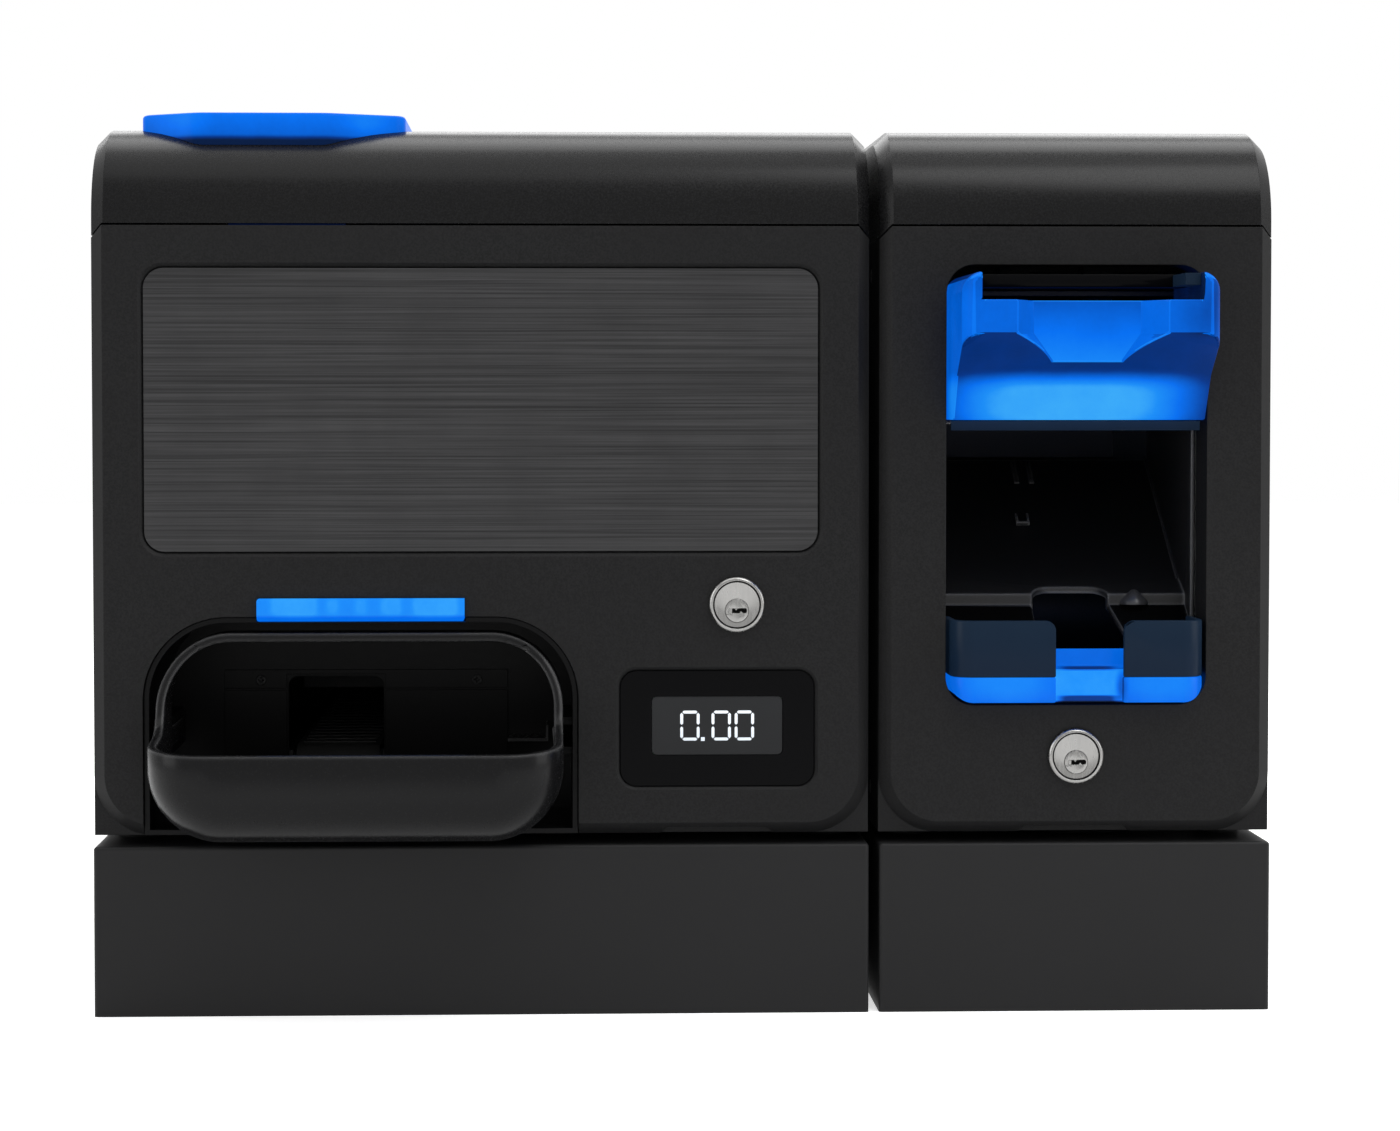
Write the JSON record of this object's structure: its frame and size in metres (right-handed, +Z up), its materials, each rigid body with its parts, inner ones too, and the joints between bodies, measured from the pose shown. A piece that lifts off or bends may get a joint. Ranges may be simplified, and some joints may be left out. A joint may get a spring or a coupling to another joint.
{
  "type": "cash recycler for a shop counter",
  "caption": "Shop-counter cash recycler: a coin module with a lid funnel, lit payout cup and display beside a banknote module with a lit inlet hood and outlet tray, on steel plinths",
  "frame": {"origin": "middle of the footprint's bounding box, on the counter surface", "axes": "+X to the right seen from the customer's side, +Y towards the back, +Z up"},
  "size_m": [0.457, 0.5752, 0.3498],
  "materials": {
    "black_sheet": "fine-textured black coat",
    "black_shell": "black moulding with a fine grain",
    "blue_glow": "translucent blue, lit from behind",
    "blue_tint": "dark translucent blue",
    "board_green": "circuit board",
    "brushed_grey": "dark brushed metal",
    "cup_plastic": "black moulding, smooth inside",
    "display_glass": "smoked window",
    "foot_rubber": "plain rubber",
    "gloss_black": "glossy black",
    "lock_chrome": "nickel plate",
    "motor_steel": "painted can",
    "plinth_coat": "satin black powder coat",
    "roller_rubber": "ground rubber",
    "white_plastic": "natural moulding",
    "zinc_steel": "zinc plate"
  },
  "bodies": {
    "frame": {"belt_cheeks": "zinc_steel", "case_screws": "zinc_steel", "coin_bins": "cup_plastic", "coin_board": "board_green", "coin_chassis": "black_sheet", "coin_fascia": "black_shell", "coin_frame": "zinc_steel", "coin_plinth": "plinth_coat", "coin_side_covers": "black_sheet", "coin_sorter_rail": "brushed_grey", "connector_plate": "gloss_black", "cup_niche": "cup_plastic", "display_bezel": "gloss_black", "display_window": "display_glass", "feed_bowl": "cup_plastic", "feed_motor": "motor_steel", "front_boards": "board_green", "inlay_panel": "brushed_grey", "lid_hinge_pins": "zinc_steel", "light_bar": "blue_glow", "lock_barrels": "lock_chrome", "lock_nuts": "zinc_steel", "mains_inlet": "gloss_black", "module_feet": "foot_rubber", "module_tie": "zinc_steel", "note_board": "board_green", "note_cassette": "cup_plastic", "note_chassis": "black_sheet", "note_fascia": "black_shell", "note_frame": "zinc_steel", "note_guides": "cup_plastic", "note_hood": "blue_glow", "note_motor": "motor_steel", "note_outlet": "cup_plastic", "note_plinth": "plinth_coat", "note_side_covers": "black_sheet", "note_slot_bezel": "gloss_black", "note_tray": "blue_tint", "note_tray_light": "blue_glow", "note_validator": "black_shell", "payout_belt": "foot_rubber", "power_supply": "zinc_steel"},
    "coin_lid": {"coin_lid": "black_shell", "coin_funnel": "blue_glow"},
    "note_lid": {"note_lid": "black_shell"},
    "coin_key": {"coin_lock_plug": "lock_chrome", "coin_lock_cam": "zinc_steel"},
    "coin_latch": {"coin_latch_lever": "zinc_steel"},
    "note_key": {"note_lock_plug": "lock_chrome", "note_lock_cam": "zinc_steel"},
    "coin_cup": {"coin_cup": "cup_plastic"},
    "power_rocker": {"power_rocker": "gloss_black"},
    "feed_disc": {"feed_disc": "white_plastic"},
    "belt_drive": {"belt_drive_roller": "zinc_steel"},
    "belt_idler": {"belt_idler_roller": "zinc_steel"},
    "feed_drive": {"feed_drive_roller": "roller_rubber"},
    "feed_idler": {"feed_idler_roller": "roller_rubber"},
    "recycler_drum": {"recycler_drum": "white_plastic"},
    "stacker_plate": {"stacker_plate": "brushed_grey"}
  },
  "joints": [
    {"name": "coin_lid_hinge", "type": "hinge", "parent": "frame", "child": "coin_lid", "pos_m": [-0.0785, 0.28415, 0.3011], "axis": [-1, 0, 0], "range_deg": [0, 75]},
    {"name": "note_lid_hinge", "type": "hinge", "parent": "frame", "child": "note_lid", "pos_m": [0.152, 0.28415, 0.3011], "axis": [-1, 0, 0], "range_deg": [0, 75]},
    {"name": "coin_key_turn", "type": "hinge", "parent": "frame", "child": "coin_key", "pos_m": [0.0199, -0.22965, 0.1569], "axis": [0, -1, 0], "range_deg": [0, 45]},
    {"name": "coin_latch_swing", "type": "hinge", "parent": "frame", "child": "coin_latch", "pos_m": [0.0199, -0.1958, 0.2319], "axis": [0, -1, 0], "range_deg": [0, 7]},
    {"name": "note_key_turn", "type": "hinge", "parent": "frame", "child": "note_key", "pos_m": [0.152, -0.22965, 0.0976], "axis": [0, 1, 0], "range_deg": [0, 90]},
    {"name": "coin_cup_slide", "type": "slide", "parent": "frame", "child": "coin_cup", "axis": [0, -1, 0], "range_m": [0, 0.03]},
    {"name": "power_rocker_tilt", "type": "hinge", "parent": "frame", "child": "power_rocker", "pos_m": [0.0104, 0.27735, 0.113], "axis": [-1, 0, 0], "range_deg": [0, 18]},
    {"name": "feed_disc_spin", "type": "hinge", "parent": "frame", "child": "feed_disc", "pos_m": [-0.1605, -0.12965, 0.246], "axis": [0, 0, 1], "continuous": true},
    {"name": "belt_drive_spin", "type": "hinge", "parent": "frame", "child": "belt_drive", "pos_m": [-0.13925, 0.18635, 0.087], "axis": [1, 0, 0], "continuous": true},
    {"name": "belt_idler_spin", "type": "hinge", "parent": "frame", "child": "belt_idler", "pos_m": [-0.13925, -0.14365, 0.087], "axis": [1, 0, 0], "continuous": true},
    {"name": "feed_drive_spin", "type": "hinge", "parent": "frame", "child": "feed_drive", "pos_m": [0.152, -0.16765, 0.269], "axis": [1, 0, 0], "continuous": true},
    {"name": "feed_idler_spin", "type": "hinge", "parent": "frame", "child": "feed_idler", "pos_m": [0.152, -0.16765, 0.2872], "axis": [1, 0, 0], "continuous": true},
    {"name": "recycler_drum_spin", "type": "hinge", "parent": "frame", "child": "recycler_drum", "pos_m": [0.152, -0.05765, 0.148], "axis": [1, 0, 0], "continuous": true},
    {"name": "stacker_slide", "type": "slide", "parent": "frame", "child": "stacker_plate", "axis": [0, 1, 0], "range_m": [0, 0.12]}
  ],
  "couplings": [
    {"joint": "coin_latch_swing", "follows": "coin_key_turn", "ratio": 0.1478},
    {"joint": "belt_idler_spin", "follows": "belt_drive_spin", "ratio": 1},
    {"joint": "feed_idler_spin", "follows": "feed_drive_spin", "ratio": -1}
  ]
}
